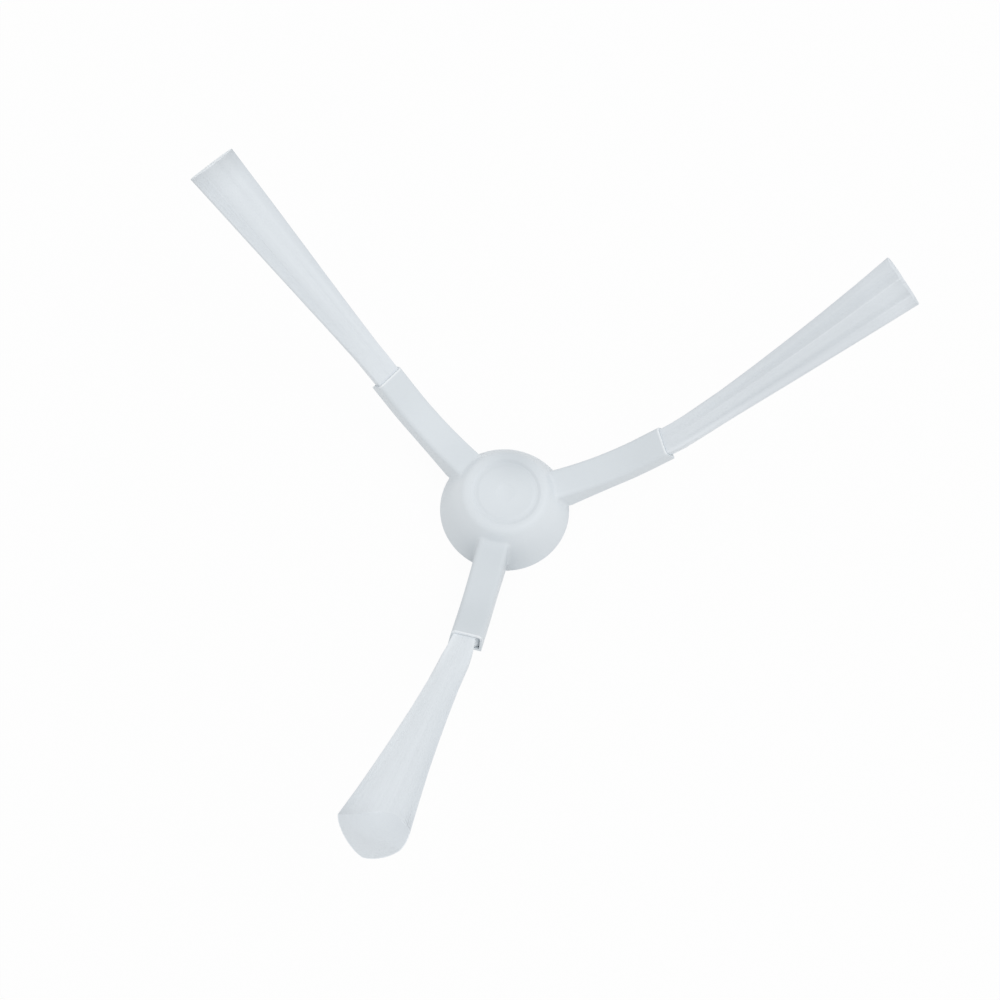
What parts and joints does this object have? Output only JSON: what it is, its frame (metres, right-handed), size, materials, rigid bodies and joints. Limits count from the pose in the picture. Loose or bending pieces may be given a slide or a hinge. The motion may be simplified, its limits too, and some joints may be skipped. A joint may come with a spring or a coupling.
{
  "type": "robot vacuum side brush",
  "caption": "Side brush for a robot vacuum: a domed hub with rising arms, each holding a flared tuft of bristles that sweeps dirt from edges and corners.",
  "frame": {"origin": "middle of the hub's rim plane, at the mouth of the drive socket", "axes": "+Z out through the dome, so the drive socket opens along -Z; +X along the first arm"},
  "size_m": [0.1177, 0.1266, 0.0441],
  "materials": {
    "white_plastic": "satin moulded plastic",
    "white_bristles": "fine white nylon filaments"
  },
  "bodies": {
    "root": {"hub_with_arms": "white_plastic", "bristle_tuft_1": "white_bristles", "bristle_tuft_2": "white_bristles", "bristle_tuft_3": "white_bristles"}
  },
  "joints": []
}
